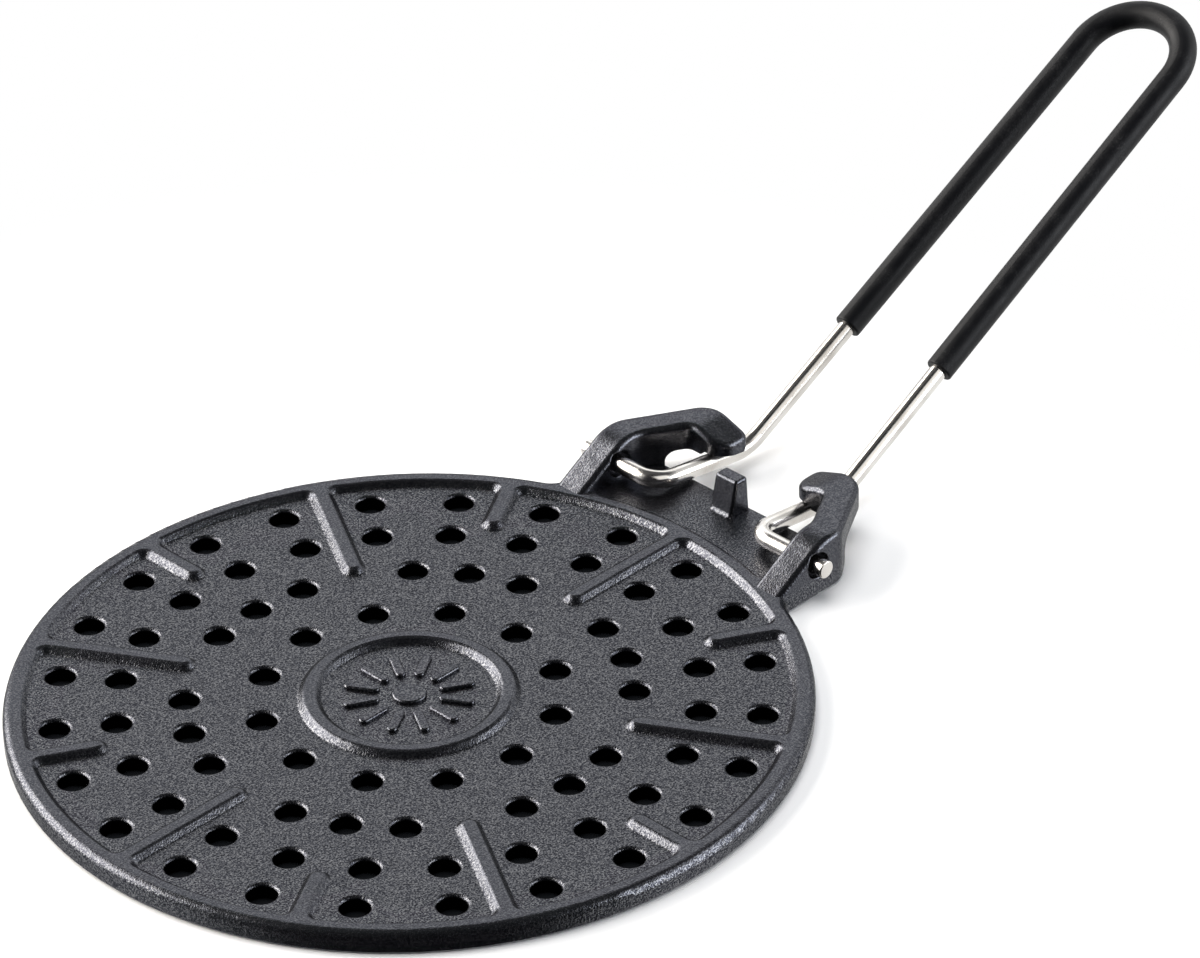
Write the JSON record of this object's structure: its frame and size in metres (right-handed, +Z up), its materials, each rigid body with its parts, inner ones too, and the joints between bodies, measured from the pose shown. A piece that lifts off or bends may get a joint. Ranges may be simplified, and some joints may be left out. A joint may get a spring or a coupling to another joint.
{
  "type": "arepa pan",
  "caption": "Round perforated cast iron cooking plate with raised radial ribs, two hooked cast ears and a sprung wire handle, sleeved in soft rubber, that folds over the plate.",
  "frame": {"origin": "centre of the round plate, on the plane of its underside", "axes": "+X from the plate's centre towards the handle, +Z up out of the ribbed cooking side, +Y to the left when looking along the handle"},
  "size_m": [0.4057, 0.21, 0.0877],
  "materials": {
    "iron": "bare sand cast surface, lightly oiled",
    "wire": "polished steel spring wire",
    "sleeve": "matte black soft sleeve"
  },
  "bodies": {
    "plate": {"cast_plate": "iron"},
    "handle": {"handle_wire": "wire", "grip_sleeve": "sleeve"}
  },
  "joints": [
    {"name": "handle_fold", "type": "hinge", "parent": "plate", "child": "handle", "pos_m": [0.1108, 0, 0.0093], "axis": [0, -1, 0], "range_deg": [0, 157], "deforming": ["handle_wire"]}
  ]
}
